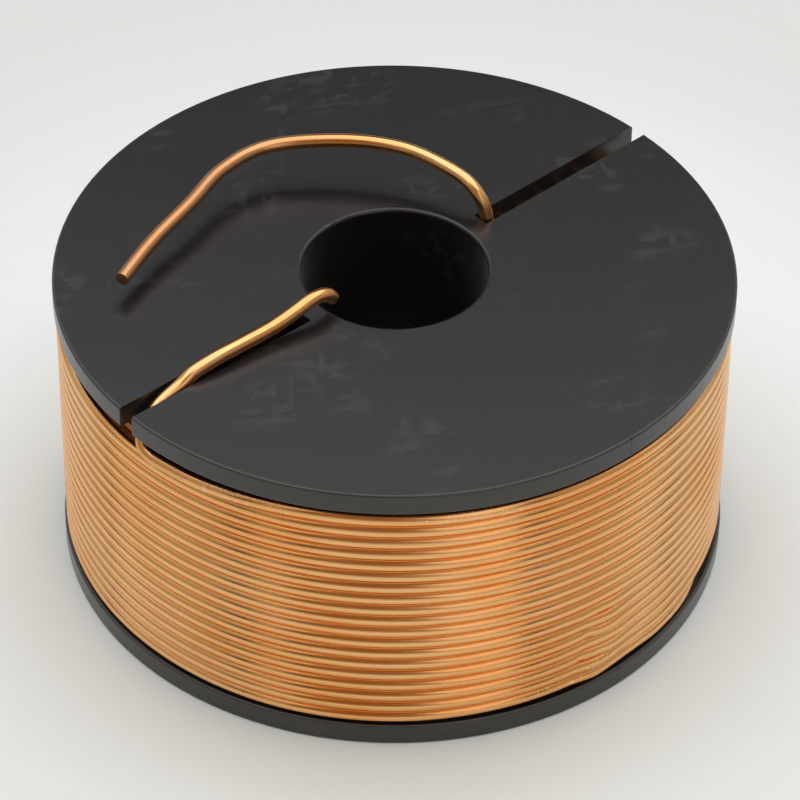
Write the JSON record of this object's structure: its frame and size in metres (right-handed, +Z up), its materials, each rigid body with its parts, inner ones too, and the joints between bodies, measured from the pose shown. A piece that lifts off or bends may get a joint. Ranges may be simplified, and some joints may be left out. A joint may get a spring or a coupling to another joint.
{
  "type": "crossover inductor",
  "caption": "Air-core crossover inductor: enamelled copper wire wound in layers on a black flanged bobbin with a through bore, both wire ends led out through slots in the upper flange.",
  "frame": {"origin": "centre of the lower flange's underside, on the axis of the bore", "axes": "+Z up the bore, +X out along the slot of the start lead; the finish lead's slot is on the other side"},
  "size_m": [0.055, 0.055, 0.0303],
  "materials": {
    "bobbin": "moulded black plastic, satin",
    "enamelled_copper": "bright copper under clear amber enamel"
  },
  "bodies": {
    "root": {"bobbin": "bobbin", "winding": "enamelled_copper"}
  },
  "joints": []
}
